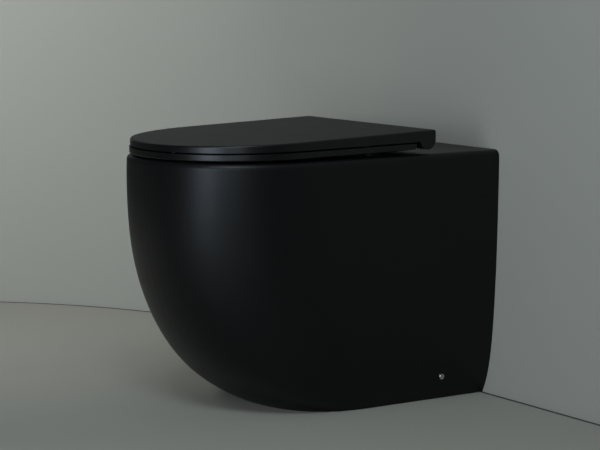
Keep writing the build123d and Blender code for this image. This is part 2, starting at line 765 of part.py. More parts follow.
def make_hinge_block(side):
    """Cast block on the stud: a barrel on a stem, with the release built in."""
    x = side * STUD_X
    x_range = (side * BLOCK_INNER, side * BLOCK_OUTER)
    foot = BASE_TOP + BLOCK_FOOT_GAP
    step = BASE_TOP + BLOCK_STEP_HEIGHT
    body = block(x_range, (AXIS_Y - BLOCK_FRONT, AXIS_Y + BLOCK_REAR), (foot, step))
    body = fillet(body.edges().filter_by(Axis.Z), 1.5)
    body += block(x_range, (AXIS_Y - BLOCK_REAR, AXIS_Y + BLOCK_REAR), (step - 1.0, AXIS_Z))
    body += axle(BARREL_RADIUS, BLOCK_INNER, BLOCK_OUTER, side)
    body -= axle(PIN_RADIUS + RUNNING_CLEARANCE, BLOCK_INNER - 1, BLOCK_OUTER + 1, side)
    body -= upright(POST_RADIUS + RUNNING_CLEARANCE, x, AXIS_Y, foot - 1, POST_TOP + 0.4)
    body -= along_release(BUTTON_RADIUS + RUNNING_CLEARANCE, BLOCK_FRONT + 1, BUTTON_STOP - 1, x)
    body -= along_release(BUTTON_FLANGE_RADIUS + 0.1, BUTTON_STOP, 0, x)
    slot_x = CLIP_LEG_X + CLIP_WIRE_RADIUS + 0.3
    slot_z = CLIP_WIRE_RADIUS + 0.2
    body -= block(
        (x - slot_x, x + slot_x),
        (AXIS_Y - BUTTON_STOP, AXIS_Y + CLIP_LEG_END + 0.7),
        (GROOVE_Z - slot_z, GROOVE_Z + slot_z),
    )
    return body


def along_release(radius, front, rear, x):
    """Cylinder along the release button's travel, between two distances ahead of the stud."""
    middle = AXIS_Y - (front + rear) / 2
    return Pos(x, middle, GROOVE_Z) * Rot(90, 0, 0) * Cylinder(radius, front - rear)


def make_release_button(side):
    """Push button with a captive flange that bears on the spring clip."""
    x = side * STUD_X
    flange_back = BUTTON_STOP - 0.1 - BUTTON_FLANGE_LENGTH
    button = along_release(BUTTON_RADIUS, BLOCK_FRONT + BUTTON_PROUD, flange_back, x)
    button = chamfer(button.edges().sort_by(Axis.Y)[0], 0.4)
    return button + along_release(BUTTON_FLANGE_RADIUS, BUTTON_STOP - 0.1, flange_back, x)


def make_release_clip(side):
    """Spring wire bent to a U, whose legs lie in the groove of the post."""
    x = side * STUD_X
    path = FilletPolyline(
        (x - CLIP_LEG_X, AXIS_Y + CLIP_LEG_END, GROOVE_Z),
        (x - CLIP_LEG_X, AXIS_Y - CLIP_BRIDGE, GROOVE_Z),
        (x + CLIP_LEG_X, AXIS_Y - CLIP_BRIDGE, GROOVE_Z),
        (x + CLIP_LEG_X, AXIS_Y + CLIP_LEG_END, GROOVE_Z),
        radius=CLIP_BEND_RADIUS,
    )
    section = Plane(origin=path @ 0, z_dir=path % 0) * Circle(CLIP_WIRE_RADIUS)
    return sweep(section, path=path)


def make_bush(radius, start, end, side):
    """Plastic bearing sleeve on a hinge pin."""
    sleeve = axle(radius, start, end, side)
    return sleeve - axle(PIN_RADIUS + RUNNING_CLEARANCE, start - 1, end + 1, side)


def make_damper(radius, mouth, length, direction, side):
    """Sealed rotary damper: a cartridge with a blind bore for its shaft."""
    far = mouth + direction * length
    bore_end = far - direction * DAMPER_END_WALL
    body = axle(radius, mouth, far, side)
    return body - axle(PIN_RADIUS + RUNNING_CLEARANCE, mouth - direction, bore_end, side)


def make_damper_shaft(mouth, length, direction, side):
    """Damper shaft, held in the hinge block at one end."""
    far = mouth + direction * (length - DAMPER_END_WALL - 1.0)
    start = STUD_X + direction * 0.2
    return axle(PIN_RADIUS, start, far, side)


def side_wall_x():
    """Half width of the skirt where the side screw goes through."""
    return skirt_half_width(SIDE_FIX_HEIGHT)


def make_side_cap(side):
    """Small plated cap over the head of the side screw."""
    y, z = at_reach(SIDE_FIX_REACH), SIDE_FIX_HEIGHT
    seat = side_wall_x() - HEAD_RECESS
    end = side_wall_x() + CAP_PROUD
    cap = axle(CAP_RADIUS, seat, end, side, y, z)
    rim = cap.edges().sort_by(Axis.X)[-1 if side > 0 else 0]
    cap = fillet(rim, CAP_DOME)
    return cap - axle(CAP_CAVITY_RADIUS, seat - 1, seat + SCREW_HEAD_HEIGHT + 0.2, side, y, z)


def bracket_face_x():
    """Outer face of the bracket's upright."""
    return side_wall_x() - BRACKET_SETBACK


def make_side_screw(side):
    """Screw through the skirt into the bracket."""
    y, z = at_reach(SIDE_FIX_REACH), SIDE_FIX_HEIGHT
    seat = side_wall_x() - HEAD_RECESS
    end = bracket_face_x() - BRACKET_PLATE - NUT_THICKNESS - 2.0
    shank = axle(SCREW_RADIUS, end, seat + 1.0, side, y, z)
    return shank + axle(SCREW_HEAD_RADIUS, seat, seat + SCREW_HEAD_HEIGHT, side, y, z)


def make_side_bush(side):
    """Plastic sleeve in the ceramic hole, with a spacer up to the bracket."""
    y, z = at_reach(SIDE_FIX_REACH), SIDE_FIX_HEIGHT
    seat = side_wall_x() - HEAD_RECESS
    inner_wall = side_wall_x() - SKIRT_WALL
    shoulder = inner_wall - SPACER_WALL_GAP
    sleeve = axle(SIDE_HOLE_RADIUS - FIXED_CLEARANCE, shoulder - 1.0, seat, side, y, z)
    sleeve += axle(SPACER_RADIUS, bracket_face_x(), shoulder, side, y, z)
    return sleeve - axle(SCREW_RADIUS + FIXED_CLEARANCE, bracket_face_x() - 1, seat + 1, side, y, z)


def make_floor_bracket(side):
    """Folded steel angle screwed to the floor inside the skirt."""
    y = at_reach(SIDE_FIX_REACH)
    face = bracket_face_x()
    y_range = (y - BRACKET_WIDTH / 2, y + BRACKET_WIDTH / 2)
    back = face - BRACKET_PLATE
    angle = block((side * back, side * face), y_range, (0, BRACKET_HEIGHT))
    angle += block((side * (face - BRACKET_FOOT), side * face), y_range, (0, BRACKET_PLATE))
    heel = angle.edges().filter_by(Axis.Y).filter_by(
        lambda edge: abs(edge.center().Z) < 0.1 and abs(abs(edge.center().X) - face) < 0.1
    )
    angle = fillet(heel, BRACKET_BEND_RADIUS)
    angle = fillet(angle.edges().filter_by(Axis.X).filter_by(
        lambda edge: edge.center().Z > BRACKET_HEIGHT - 0.1
    ), BRACKET_CORNER)
    angle -= axle(SCREW_RADIUS + FIXED_CLEARANCE, back - 1, face + 1, side, y, SIDE_FIX_HEIGHT)
    foot_x = face - BRACKET_FOOT / 2 - BRACKET_PLATE / 2
    angle -= upright(BRACKET_HOLE_RADIUS, side * foot_x, y, -1, BRACKET_PLATE + 1)
    return angle


def make_bracket_nut(side):
    """Hexagon nut behind the bracket."""
    y, z = at_reach(SIDE_FIX_REACH), SIDE_FIX_HEIGHT
    face = bracket_face_x() - BRACKET_PLATE
    middle = side * (face - NUT_THICKNESS / 2)
    hexagon = extrude(RegularPolygon(NUT_FLATS_RADIUS, 6), amount=NUT_THICKNESS / 2, both=True)
    nut = Pos(middle, y, z) * Rot(0, 90, 0) * hexagon
    return nut - axle(SCREW_RADIUS + FIXED_CLEARANCE, face - NUT_THICKNESS - 1, face + 1, side, y, z)


def make_inlet_seal():
    """Rubber seal in the inlet horn that grips the flush pipe."""
    z = RIM_Z - INLET_DROP
    end = INLET_END_REACH + SEAL_LENGTH
    outer = along_wall_axis(INLET_BORE_RADIUS - FIXED_CLEARANCE, INLET_END_REACH - 1, end, z)
    outer += along_wall_axis(
        INLET_BORE_RADIUS + SEAL_FLANGE, INLET_END_REACH - SEAL_FLANGE, INLET_END_REACH, z
    )
    return outer - along_wall_axis(
        FLUSH_PIPE_RADIUS, INLET_END_REACH - SEAL_FLANGE - 1, end + 1, z
    )


def build_all():
    """Every node by name."""
    parts = {
        "pan_skirt": make_skirt(),
        "pan_rim": make_rim(),
        "pan_bowl": make_bowl(),
        "pan_trapway": make_trapway(),
        "pan_outlet": make_outlet(),
        "pan_inlet": make_inlet(),
        "lid": make_lid(),
        "seat": make_seat(),
    }
    for side, name in ((-1, "left"), (1, "right")):
        x, reach = FRONT_SEAT_BUFFER
        parts[f"seat_buffer_front_{name}"] = make_seat_buffer(side * x, reach)
        x, reach = REAR_SEAT_BUFFER
        parts[f"seat_buffer_rear_{name}"] = make_seat_buffer(side * x, reach)
        x, reach = FRONT_LID_BUFFER
        parts[f"lid_buffer_front_{name}"] = make_lid_buffer(side * x, reach)
        x, reach = REAR_LID_BUFFER
        parts[f"lid_buffer_rear_{name}"] = make_lid_buffer(side * x, reach)
        parts[f"hinge_gasket_{name}"] = make_gasket(side)
        parts[f"hinge_base_disc_{name}"] = make_base_disc(side)
        parts[f"hinge_stud_{name}"] = make_stud(side)
        parts[f"stud_washer_{name}"] = make_stud_washer(side)
        parts[f"wing_nut_{name}"] = make_wing_nut(side)
        parts[f"hinge_block_{name}"] = make_hinge_block(side)
        parts[f"release_button_{name}"] = make_release_button(side)
        parts[f"release_clip_{name}"] = make_release_clip(side)
        parts[f"side_cap_{name}"] = make_side_cap(side)
        parts[f"side_screw_{name}"] = make_side_screw(side)
        parts[f"side_screw_bush_{name}"] = make_side_bush(side)
        parts[f"floor_bracket_{name}"] = make_floor_bracket(side)
        parts[f"bracket_nut_{name}"] = make_bracket_nut(side)
    # The lid turns on a plain pin at the right and on its damper at the left,
    # and the seat the other way round.
    parts["lid_pin"] = axle(PIN_RADIUS, STUD_X + 0.2, STUD_X + LID_PIN_LENGTH, 1)
    parts["lid_bush"] = make_bush(LID_BUSH_RADIUS, LID_LUG_INNER, STUD_X + LID_PIN_LENGTH, 1)
    parts["seat_pin"] = axle(PIN_RADIUS, STUD_X - SEAT_PIN_LENGTH, STUD_X - 0.2, -1)
    parts["seat_bush"] = make_bush(SEAT_BUSH_RADIUS, STUD_X - SEAT_PIN_LENGTH, SEAT_LUG_OUTER, -1)
    parts["lid_damper"] = make_damper(LID_DAMPER_RADIUS, LID_LUG_INNER, LID_DAMPER_LENGTH, 1, -1)
    parts["lid_damper_shaft"] = make_damper_shaft(LID_LUG_INNER, LID_DAMPER_LENGTH, 1, -1)
    parts["seat_damper"] = make_damper(
        SEAT_DAMPER_RADIUS, SEAT_LUG_OUTER, SEAT_DAMPER_LENGTH, -1, 1
    )
    parts["seat_damper_shaft"] = make_damper_shaft(SEAT_LUG_OUTER, SEAT_DAMPER_LENGTH, -1, 1)
    parts["inlet_seal"] = make_inlet_seal()
    return parts


os.makedirs("parts", exist_ok=True)
for name, shape in build_all().items():
    export_step(shape, f"parts/{name}.step")
    print(name, round(shape.volume), len(shape.solids()))
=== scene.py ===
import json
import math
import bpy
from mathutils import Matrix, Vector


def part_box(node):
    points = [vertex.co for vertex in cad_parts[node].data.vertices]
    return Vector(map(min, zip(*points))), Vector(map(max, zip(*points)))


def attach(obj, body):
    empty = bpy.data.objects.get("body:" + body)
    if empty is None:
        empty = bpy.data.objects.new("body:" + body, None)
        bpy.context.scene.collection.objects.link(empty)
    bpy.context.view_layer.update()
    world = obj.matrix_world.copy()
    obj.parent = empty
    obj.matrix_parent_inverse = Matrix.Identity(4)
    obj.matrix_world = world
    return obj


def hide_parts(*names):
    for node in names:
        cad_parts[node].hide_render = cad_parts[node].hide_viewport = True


bl_info = {
    "name": "Back to Wall Toilet",
    "version": (1, 0, 0),
    "blender": (4, 5, 0),
    "location": "3D View > Sidebar > Toilet",
    "description": "Dresses a matt black back to wall toilet with its finishes, soft edges and studio",
    "category": "Object",
}

import bpy
from mathutils import Vector

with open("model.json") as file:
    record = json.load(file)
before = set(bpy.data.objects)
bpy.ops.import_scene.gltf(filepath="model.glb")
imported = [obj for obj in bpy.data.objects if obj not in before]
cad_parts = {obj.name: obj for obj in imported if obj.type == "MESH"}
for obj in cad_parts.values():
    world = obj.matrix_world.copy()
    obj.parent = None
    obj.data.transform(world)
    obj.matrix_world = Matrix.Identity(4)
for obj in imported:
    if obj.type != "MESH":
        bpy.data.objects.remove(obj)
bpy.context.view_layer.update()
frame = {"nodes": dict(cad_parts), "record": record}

PAN_LOW, PAN_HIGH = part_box("pan_rim")
WALL_Y = PAN_HIGH.y
WALL_CLEARANCE = 0.0005
SIDES = {"left": -1.0, "right": 1.0}
LID_LOW, LID_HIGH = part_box("lid")
PIN_LOW, PIN_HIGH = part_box("lid_pin")
HINGE_Y = (PIN_LOW.y + PIN_HIGH.y) / 2
HINGE_Z = (PIN_LOW.z + PIN_HIGH.z) / 2
BODY_OF = {
    node: body for body, nodes in frame["record"]["behaviour"]["bodies"].items() for node in nodes
}
SLOT_OF = {part["node"]: part["material_slot"] for part in frame["record"]["subparts"]}


def length(name, description, metres):
    """Property for a size, in metres."""
    return bpy.props.FloatProperty(
        name=name, description=description, default=metres, unit="LENGTH", precision=5
    )


def colour(name, description, red, green, blue):
    """Property for a colour, in linear light."""
    return bpy.props.FloatVectorProperty(
        name=name,
        description=description,
        default=(red, green, blue),
        subtype="COLOR",
        size=3,
        min=0.0,
        max=1.0,
    )


def share(name, description, default):
    """Property for a number from 0 to 1."""
    return bpy.props.FloatProperty(
        name=name, description=description, default=default, min=0.0, max=1.0, subtype="FACTOR"
    )


def power(name, description, watts):
    """Property for the power of a lamp."""
    return bpy.props.FloatProperty(
        name=name, description=description, default=watts, min=0.0, unit="POWER"
    )


class FinishSettings(bpy.types.PropertyGroup):
    """Colours and gloss of the finishes."""

    glaze: colour("Glaze", "Matt black glaze of the pan", 0.0016, 0.0017, 0.0018)
    glaze_roughness: share("Glaze roughness", "How matt the glaze is", 0.42)
    moulding: colour("Seat moulding", "Matt black of seat and lid", 0.0018, 0.0019, 0.0020)
    moulding_roughness: share("Moulding roughness", "How matt the lid's top is", 0.58)
    side_roughness: share("Side roughness", "How matt the sides of seat and lid are", 0.34)
    chrome: colour("Chrome", "Plated fittings", 0.58, 0.58, 0.59)
    steel: colour("Stainless steel", "Pins, screws and clips", 0.46, 0.45, 0.44)
    zinc: colour("Zinc", "Zinc coated brackets", 0.40, 0.42, 0.44)
    nylon: colour("Nylon", "White plastic bushes and nuts", 0.72, 0.71, 0.66)
    cartridge: colour("Cartridge", "Damper cartridges", 0.05, 0.05, 0.055)
    rubber: colour("Rubber", "Buffers, gaskets and seal", 0.005, 0.005, 0.005)


class EdgeSettings(bpy.types.PropertyGroup):
    """Soft edges of the moulded and cast pieces."""

    lid_edge: length("Lid edge", "Radius of the lid's lower edges", 0.0016)
    knuckle_edge: length("Knuckle edge", "Radius round the outer end of a hinge knuckle", 0.0022)
    seat_edge: length("Seat edge", "Radius of the seat's edges", 0.0012)
    seat_proud: length("Seat proud", "How far the seat's outer side is pushed out", 0.0024)
    seat_relief: length("Seat relief", "How far the top dips at the seat's outer edge", 0.0006)
    seat_shoulder: length("Seat shoulder", "Where the seat's straight sides end, along Y", -0.0876)
    block_edge: length("Hinge block edge", "Radius of the cast edges", 0.0007)
    bracket_edge: length("Bracket edge", "Radius of the cut sheet edges", 0.0004)


class FastenerSettings(bpy.types.PropertyGroup):
    """Turned, threaded and moulded small pieces."""

    cap_dish: length("Cap dish", "Depth of the dish in a side cap", 0.0013)
    cap_round: length("Cap rounding", "Radius of a side cap's rim", 0.0016)
    stud_radius: length("Stud radius", "Threaded tail of a hinge stud", 0.0030)
    post_radius: length("Post radius", "Smooth post of a hinge stud", 0.0050)
    groove_radius: length("Groove radius", "Bottom of the post's groove", 0.0038)
    groove_height: length("Groove height", "Width of the post's groove", 0.0018)
    stud_pitch: length("Stud pitch", "Thread pitch of a hinge stud", 0.0010)
    screw_radius: length("Screw radius", "Threaded shank of a side screw", 0.0025)
    screw_head: length("Screw head", "Height of a side screw's head", 0.0030)
    screw_pitch: length("Screw pitch", "Thread pitch of a side screw", 0.0012)
    wing_thickness: length("Wing thickness", "Finger wings of a wing nut", 0.0040)
    wing_step: length("Wing step", "How far the wings stay below the hub's top", 0.0030)
    wing_corner: length("Wing corner", "Corner radius of a finger wing", 0.0036)
    button_dish: length("Button dish", "Depth of the finger dish in a release button", 0.0004)
    pad_round: length("Pad rounding", "Lower edge of a rubber pad", 0.0009)
    lip_depth: length("Seal lip", "How far a lip of the inlet seal stands in", 0.0010)


class StudioSettings(bpy.types.PropertyGroup):
    """Camera, light and backdrop."""

    camera_place: bpy.props.FloatVectorProperty(
        name="Camera place",
        description="Where the camera stands",
        default=(2.6512, -1.7253, 0.6859),
        subtype="TRANSLATION",
        unit="LENGTH",
    )
    camera_tilt: bpy.props.FloatProperty(
        name="Camera tilt",
        description="How far the camera looks down",
        default=math.radians(7.343),
        subtype="ANGLE",
    )
    camera_turn: bpy.props.FloatProperty(
        name="Camera turn",
        description="How far the camera is turned round the object",
        default=math.radians(56.75),
        subtype="ANGLE",
    )
    focal_length: bpy.props.FloatProperty(
        name="Focal length", description="Lens, in millimetres", default=119.15
    )
    wall: colour("Wall", "Plain wall behind the pan", 0.33, 0.316, 0.268)
    floor: colour("Floor", "Plain floor", 0.355, 0.336, 0.276)
    joint: colour("Joint", "Sealed joint between wall and floor", 0.045, 0.045, 0.04)
    joint_width: length("Joint width", "Width of that joint", 0.006)
    opening_half_width: length("Opening", "Half width of the wall's opening behind the pan", 0.13)
    opening_height: length("Opening height", "Height of that opening, for the pipes", 0.37)
    wall_straight: length("Straight wall", "How far the wall runs straight to the left", 0.44)
    wall_sweep: length("Wall sweep", "Radius of the sweep that follows", 0.9)
    ambient: share("Ambient", "Light from all round", 0.06)
    front_power: power("Front light", "Upright light in front of the pan", 22.0)
    upper_power: power("Upper light", "Slanted light above the front light", 12.0)
    side_power: power("Side light", "Upright light beside the camera", 6.2)
    top_power: power("Top light", "Soft light above the pan", 2.0)
    wash_power: power("Wall wash", "Light that washes the wall on the left", 9.8)
    back_power: power("Back light", "Light behind the wall, for the pan's open back", 40.0)
    daylight: colour("Daylight", "Tint of the front, upper and side lights", 0.74, 0.865, 1.0)
    lamplight: colour("Lamplight", "Tint of the top light and the wash", 0.88, 0.935, 1.0)


class Signal:
    """A shader value that can be used in plain arithmetic."""

    def __init__(self, shader, socket):
        self.shader = shader
        self.socket = socket

    def join(self, operation, *values):
        return self.shader.add("ShaderNodeMath", {"operation": operation}, *values)

    def __add__(self, other):
        return self.join("ADD", self, other)

    __radd__ = __add__

    def __sub__(self, other):
        return self.join("SUBTRACT", self, other)

    def __rsub__(self, other):
        return self.join("SUBTRACT", other, self)

    def __mul__(self, other):
        return self.join("MULTIPLY", self, other)

    __rmul__ = __mul__

    def __truediv__(self, other):
        return self.join("DIVIDE", self, other)

    def __pow__(self, other):
        return self.join("POWER", self, other)

    def __neg__(self):
        return self.join("MULTIPLY", self, -1.0)

    def clamp(self):
        return self.shader.add("ShaderNodeClamp", {}, self)


class Shader:
    """A material and the nodes that make it."""

    def __init__(self, name):
        self.material = bpy.data.materials.new(name)
        self.material.use_nodes = True
        self.tree = self.material.node_tree
        self.surface = self.tree.nodes["Principled BSDF"]

    def add(self, kind, settings, *values, output=0, **named):
        """Adds a node: settings first, then the values or links of its sockets."""
        node = self.tree.nodes.new(kind)
        for setting, value in settings.items():
            setattr(node, setting, value)
        for key, value in [*enumerate(values), *named.items()]:
            self.feed(node.inputs[key], value)
        return Signal(self, node.outputs[output])

    def feed(self, socket, value):
        """Links a signal to a socket, or sets its plain value."""
        if isinstance(value, Signal):
            self.tree.links.new(value.socket, socket)
        else:
            socket.default_value = value

    def place(self, stretch=(1.0, 1.0, 1.0)):
        """Object coordinates, stretched along the axes."""
        point = self.add("ShaderNodeTexCoord", {}, output="Object")
        return self.add("ShaderNodeMapping", {}, Vector=point, Scale=stretch)

    def noise(self, place, per_metre, detail=2.0, roughness=0.5):
        """Soft cloud pattern, about 0 to 1."""
        return self.add(
            "ShaderNodeTexNoise",
            {},
            Vector=place,
            Scale=per_metre,
            Detail=detail,
            Roughness=roughness,
            output="Fac",
        )

    def cells(self, place, per_metre, output="Distance"):
        """Cell pattern."""
        return self.add("ShaderNodeTexVoronoi", {}, Vector=place, Scale=per_metre, output=output)

    def ramp(self, value, low, high):
        """0 below low, 1 above high, smooth between."""
        return self.add(
            "ShaderNodeMapRange",
            {"interpolation_type": "SMOOTHSTEP"},
            value,
            low,
            high,
            0.0,
            1.0,
        )

    def blend(self, factor, first, second):
        """Colour between two colours."""
        node = self.tree.nodes.new("ShaderNodeMix")
        node.data_type = "RGBA"
        for key, value in (("Factor", factor), ("A", first), ("B", second)):
            sockets = [s for s in node.inputs if s.name == key and s.enabled]
            self.feed(sockets[0], opaque(value))
        output = [s for s in node.outputs if s.enabled][0]
        return Signal(self, output)

    def bump(self, height, depth):
        """Surface relief from a height of about 0 to 1 that is depth metres deep."""
        normal = self.add("ShaderNodeBump", {}, Strength=1.0, Distance=depth, Height=height)
        self.feed(self.surface.inputs["Normal"], normal)

    def finish(self, **values):
        """Sets the surface's own sockets, by name with underscores."""
        for key, value in values.items():
            self.feed(self.surface.inputs[key.replace("_", " ")], opaque(value))
        return self.material


def opaque(value):
    """A plain colour with its alpha."""
    if isinstance(value, (tuple, list)) and len(value) == 3:
        return (*value, 1.0)
    return value


def shade(tone, factor):
    """A colour made lighter or darker."""
    return tuple(min(1.0, channel * factor) for channel in tone)


def matt_glaze(tone, roughness):
    """Fired matt glaze: satin sheen, very fine grain, faint pooling."""
    shader = Shader("matt_glaze")
    place = shader.place()
    grain = shader.noise(place, 1400.0, 2.0)
    ripple = shader.noise(place, 55.0, 2.0)
    pool = shader.noise(place, 9.0, 3.0)
    shader.bump(grain * 0.35 + ripple, 0.00006)
    return shader.finish(
        Base_Color=shader.blend(pool, shade(tone, 0.85), shade(tone, 1.25)),
        Roughness=roughness + (grain - 0.5) * 0.08 + (pool - 0.5) * 0.06,
        IOR=1.35,
    )


def matt_moulding(tone, roughness, side_roughness):
    """Pressed thermoset: fine spark-eroded grain on top, smoother round the sides."""
    shader = Shader("matt_moulding")
    place = shader.place()
    facing = shader.add("ShaderNodeTexCoord", {}, output="Normal")
    upright = shader.add("ShaderNodeSeparateXYZ", {}, facing, output="Z")
    top = shader.ramp(upright, 0.75, 0.99)
    grain = shader.noise(place, 2200.0, 3.0, 0.6)
    cloud = shader.noise(place, 14.0, 3.0)
    shader.bump(grain, 0.00002)
    return shader.finish(
        Base_Color=shader.blend(cloud, shade(tone, 0.9), shade(tone, 1.15)),
        Roughness=side_roughness
        + top * (roughness - side_roughness)
        + (grain - 0.5) * 0.1
        + (cloud - 0.5) * 0.05,
        IOR=1.41,
    )


def plated_chrome(tone):
    """Bright plating with faint polishing marks and smudges."""
    shader = Shader("plated_chrome")
    place = shader.place()
    smudge = shader.noise(place, 220.0, 3.0)
    polish = shader.noise(shader.place((1.0, 1.0, 14.0)), 900.0, 1.0)
    return shader.finish(
        Base_Color=shader.blend(smudge, shade(tone, 0.94), tone),
        Metallic=1.0,
        Roughness=0.05 + smudge * 0.07 + polish * 0.03,
    )


def turned_steel(tone):
    """Stainless steel with fine turning marks along its length."""
    shader = Shader("turned_steel")
    marks = shader.noise(shader.place((1.0, 18.0, 18.0)), 700.0, 2.0)
    cloud = shader.noise(shader.place(), 160.0, 2.0)
    shader.bump(marks, 0.00002)
    return shader.finish(
        Base_Color=shader.blend(cloud, shade(tone, 0.85), shade(tone, 1.15)),
        Metallic=1.0,
        Roughness=0.24 + marks * 0.12 + cloud * 0.06,
    )


def zinc_sheet(tone):
    """Zinc coated sheet with its crystal spangle."""
    shader = Shader("zinc_sheet")
    place = shader.place()
    spangle = shader.cells(place, 260.0)
    dust = shader.noise(place, 90.0, 4.0)
    shader.bump(dust, 0.00003)
    return shader.finish(
        Base_Color=shader.blend(spangle, shade(tone, 0.7), shade(tone, 1.2)),
        Metallic=0.9,
        Roughness=0.34 + spangle * 0.12 + dust * 0.1,
    )


def moulded_nylon(name, tone):
    """Natural moulded plastic, slightly waxy."""
    shader = Shader(name)
    place = shader.place()
    cloud = shader.noise(place, 60.0, 3.0)
    grain = shader.noise(place, 2400.0, 2.0)
    shader.bump(grain, 0.00002)
    return shader.finish(
        Base_Color=shader.blend(cloud, shade(tone, 0.9), tone),
        Roughness=0.42 + (cloud - 0.5) * 0.12,
    )


def soft_rubber(tone):
    """Soft rubber with a dull bloom."""
    shader = Shader("soft_rubber")
    place = shader.place()
    bloom = shader.noise(place, 70.0, 4.0, 0.6)
    grain = shader.noise(place, 1800.0, 2.0)
    shader.bump(grain, 0.00004)
    return shader.finish(
        Base_Color=shader.blend(bloom, tone, shade(tone, 1.9)),
        Roughness=0.62 + bloom * 0.2,
    )


def stage_finish(name, tone, one_sided):
    """Plain painted surface; from its back it lets the view through."""
    shader = Shader(name)
    cloud = shader.noise(shader.place(), 1.6, 3.0)
    material = shader.finish(
        Base_Color=shader.blend(cloud, shade(tone, 0.96), shade(tone, 1.04)), Roughness=0.85
    )
    if one_sided:
        back = shader.add("ShaderNodeNewGeometry", {}, output="Backfacing")
        clear = shader.add("ShaderNodeBsdfTransparent", {})
        paint = Signal(shader, shader.surface.outputs[0])
        mixed = shader.add("ShaderNodeMixShader", {}, back, paint, clear)
        shader.feed(shader.tree.nodes["Material Output"].inputs["Surface"], mixed)
    return material


FINISHES = {}


def make_finishes():
    """Makes the material of each slot of the record."""
    kit = bpy.context.scene.toilet_finishes
    FINISHES.update(
        matt_black_glaze=matt_glaze(tuple(kit.glaze), kit.glaze_roughness),
        matt_black_seat=matt_moulding(
            tuple(kit.moulding), kit.moulding_roughness, kit.side_roughness
        ),
        chrome=plated_chrome(tuple(kit.chrome)),
        steel=turned_steel(tuple(kit.steel)),
        galvanised_steel=zinc_sheet(tuple(kit.zinc)),
        white_plastic=moulded_nylon("natural_nylon", tuple(kit.nylon)),
        dark_plastic=moulded_nylon("grey_nylon", tuple(kit.cartridge)),
        rubber=soft_rubber(tuple(kit.rubber)),
    )


def dress(nodes, slot):
    """Gives CAD nodes the finish of a slot."""
    for node in nodes:
        mesh = frame["nodes"][node].data
        mesh.materials.clear()
        mesh.materials.append(FINISHES[slot])


def select_only(*objects):
    """Nothing else is selected, and the last object is active."""
    if bpy.context.object and bpy.context.object.mode != "OBJECT":
        bpy.ops.object.mode_set(mode="OBJECT")
    bpy.ops.object.select_all(action="DESELECT")
    for item in objects:
        item.select_set(True)
        bpy.context.view_layer.objects.active = item


class TOILET_OT_finishes(bpy.types.Operator):
    """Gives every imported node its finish"""

    bl_idname = "toilet.finishes"
    bl_label = "Finish the nodes"

    def execute(self, context):
        make_finishes()
        for part in frame["record"]["subparts"]:
            dress([part["node"]], part["material_slot"])
        return {"FINISHED"}


def show(piece, node):
    """The piece stands for a CAD node, moves with its body and takes its finish."""
    piece.data.materials.clear()
    piece.data.materials.append(FINISHES[SLOT_OF[node]])
    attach(piece, BODY_OF[node])
    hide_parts(node)


def apply_modifier(piece, kind, **settings):
    """Adds one modifier, sets it and applies it."""
    select_only(piece)
    bpy.ops.object.modifier_add(type=kind)
    modifier = piece.modifiers[-1]
    for setting, value in settings.items():
        setattr(modifier, setting, value)
    bpy.ops.object.modifier_apply(modifier=modifier.name)


def smooth(piece, degrees=32.0):
    """Smooth shading with crisp edges, weighted by face size."""
    select_only(piece)
    bpy.ops.object.shade_smooth_by_angle(angle=math.radians(degrees))
    apply_modifier(piece, "WEIGHTED_NORMAL", keep_sharp=True, weight=80)


def clean_copy(node, name):
    """Copy of a CAD node with its triangles merged into whole faces."""
    piece = bpy.data.objects.new(name, frame["nodes"][node].data.copy())
    bpy.context.scene.collection.objects.link(piece)
    select_only(piece)
    bpy.ops.object.mode_set(mode="EDIT")
    bpy.ops.mesh.select_all(action="SELECT")
    bpy.ops.mesh.customdata_custom_splitnormals_clear()
    bpy.ops.mesh.remove_doubles(threshold=0.000002)
    bpy.ops.mesh.dissolve_limited(angle_limit=math.radians(0.4))
    bpy.ops.object.mode_set(mode="OBJECT")
    return piece


def round_edges(piece, chosen, radius, segments=4):
    """Rounds the edges that a test on their two ends picks."""
    select_only(piece)
    bpy.ops.object.mode_set(mode="EDIT")
    bpy.ops.mesh.select_mode(type="EDGE")
    bpy.ops.mesh.select_all(action="DESELECT")
    bpy.ops.object.mode_set(mode="OBJECT")
    places = [vertex.co for vertex in piece.data.vertices]
    for edge in piece.data.edges:
        edge.select = all(chosen(places[end]) for end in edge.vertices)
    bpy.ops.object.mode_set(mode="EDIT")
    bpy.ops.mesh.bevel(offset=radius, segments=segments, affect="EDGES", clamp_overlap=True)
    bpy.ops.object.mode_set(mode="OBJECT")


def soften(piece, radius, segments=3, least=48.0):
    """Rounds every edge that turns more than the least angle."""
    apply_modifier(
        piece,
        "BEVEL",
        limit_method="ANGLE",
        angle_limit=math.radians(least),
        width=radius,
        segments=segments,
        use_clamp_overlap=True,
        miter_outer="MITER_ARC",
    )


def skin(name, rings):
    """Piece over rings of points; ends that stay open are closed."""
    around = len(rings[0])
    select_only()
    bpy.ops.mesh.primitive_grid_add(x_subdivisions=around, y_subdivisions=len(rings) - 1, size=1.0)
    piece = bpy.context.object
    piece.name = name
    places = [ring[step % around] for ring in rings for step in range(around + 1)]
    for vertex, place in zip(piece.data.vertices, places):
        vertex.co = place
    bpy.ops.object.mode_set(mode="EDIT")
    bpy.ops.mesh.select_all(action="SELECT")
    bpy.ops.mesh.remove_doubles(threshold=0.000002)
    bpy.ops.mesh.select_all(action="SELECT")
    bpy.ops.mesh.fill_holes(sides=0)
    bpy.ops.mesh.select_all(action="SELECT")
    bpy.ops.mesh.normals_make_consistent(inside=False)
    bpy.ops.object.mode_set(mode="OBJECT")
    return piece


